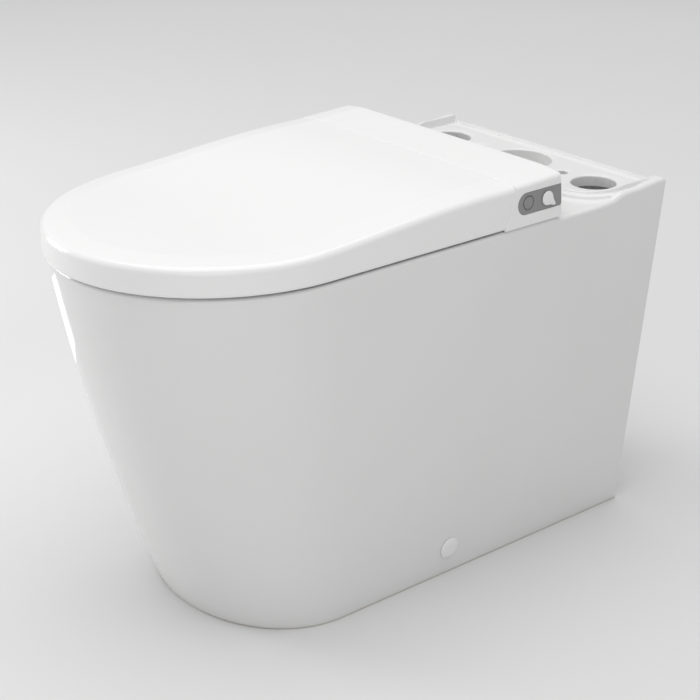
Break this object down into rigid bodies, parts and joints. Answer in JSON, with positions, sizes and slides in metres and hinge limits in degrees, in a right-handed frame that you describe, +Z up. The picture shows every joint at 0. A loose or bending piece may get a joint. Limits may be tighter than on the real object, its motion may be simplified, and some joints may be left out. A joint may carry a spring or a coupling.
{
  "type": "close coupled bidet toilet",
  "caption": "Back-to-wall ceramic toilet pan with an integrated washing seat unit, flat soft-close lid, side controls and a bare rear deck for a cistern.",
  "frame": {"origin": "middle of the bounding box on the floor: on the symmetry plane, half way between the wall plane and the lid's front", "axes": "+Z up, +Y towards the wall, -Y towards the user, +X on the side of the control panel"},
  "size_m": [0.3645, 0.703, 0.4802],
  "materials": {
    "glazed_ceramic": "white vitreous glaze, high gloss",
    "white_gloss_plastic": "moulded, high gloss",
    "white_matt_plastic": "moulded, fine satin",
    "soft_rubber": "moulded, matt",
    "steel": "plain",
    "grey_panel": "satin",
    "dark_plastic": "moulded, matt",
    "amber_plastic": "moulded",
    "tank_plastic": "moulded",
    "heater_film": "film",
    "green_board": "laminate",
    "brass": "turned"
  },
  "bodies": {
    "pan": {"pan_skirt": "glazed_ceramic", "pan_rim": "glazed_ceramic", "pan_bowl": "glazed_ceramic", "pan_deck": "glazed_ceramic", "unit_well": "glazed_ceramic", "trapway": "glazed_ceramic", "outlet_spigot": "glazed_ceramic", "flush_channel": "glazed_ceramic", "side_bolts": "steel", "bolt_caps": "white_gloss_plastic", "floor_brackets": "steel", "bracket_nuts": "steel", "floor_screws": "steel", "unit_base": "white_matt_plastic", "unit_cover": "white_gloss_plastic", "unit_pads": "soft_rubber", "unit_bolts": "steel", "unit_bolt_nuts": "white_matt_plastic", "unit_washers": "soft_rubber", "hinge_pins": "steel", "lid_damper": "dark_plastic", "seat_damper": "dark_plastic", "side_panel": "grey_panel", "button_switch": "dark_plastic", "flow_encoder": "dark_plastic", "control_board": "green_board", "arm_cradle": "white_matt_plastic", "arm_motor": "steel", "heater_tank": "tank_plastic", "heater_element": "steel", "water_pump": "dark_plastic", "inlet_valve": "white_matt_plastic", "water_inlet": "brass", "power_gland": "dark_plastic", "fan_housing": "white_matt_plastic", "fan_motor": "steel", "dryer_duct": "white_matt_plastic", "odour_cartridge": "white_matt_plastic"},
    "lid": {"lid": "white_gloss_plastic", "lid_bumpers": "soft_rubber"},
    "seat": {"seat_top": "white_gloss_plastic", "seat_bottom": "white_gloss_plastic", "seat_heater": "heater_film", "seat_bumpers": "soft_rubber"},
    "arm": {"arm_tube": "white_matt_plastic", "arm_tip": "white_matt_plastic", "arm_rack": "steel"},
    "pinion": {"arm_pinion": "amber_plastic"},
    "button": {"push_button": "grey_panel"},
    "knob": {"flow_knob": "white_gloss_plastic"},
    "rotor": {"fan_rotor": "dark_plastic"}
  },
  "joints": [
    {"name": "lid_hinge", "type": "hinge", "parent": "pan", "child": "lid", "pos_m": [0, 0.0845, 0.469], "axis": [-1, 0, 0], "range_deg": [0, 100]},
    {"name": "seat_hinge", "type": "hinge", "parent": "pan", "child": "seat", "pos_m": [0, 0.0845, 0.469], "axis": [-1, 0, 0], "range_deg": [0, 93]},
    {"name": "arm_slide", "type": "slide", "parent": "pan", "child": "arm", "axis": [0, -0.8829, -0.4695], "range_m": [0, 0.1]},
    {"name": "pinion_spin", "type": "hinge", "parent": "pan", "child": "pinion", "pos_m": [0, 0.06194, 0.41265], "axis": [-1, 0, 0], "range_deg": [0, 955]},
    {"name": "button_press", "type": "slide", "parent": "pan", "child": "button", "axis": [-1, 0, 0], "range_m": [0, 0.0012], "stiffness_N_per_m": 900},
    {"name": "knob_turn", "type": "hinge", "parent": "pan", "child": "knob", "pos_m": [0.1812, 0.152, 0.4522], "axis": [1, 0, 0], "range_deg": [-60, 60]},
    {"name": "fan_spin", "type": "hinge", "parent": "pan", "child": "rotor", "pos_m": [-0.076, 0.127, 0.375], "axis": [0, 0, 1], "continuous": true}
  ],
  "couplings": [
    {"joint": "seat_hinge", "follows": "lid_hinge", "ratio": 0.93},
    {"joint": "pinion_spin", "follows": "arm_slide", "rad_per_m": 166.67}
  ]
}
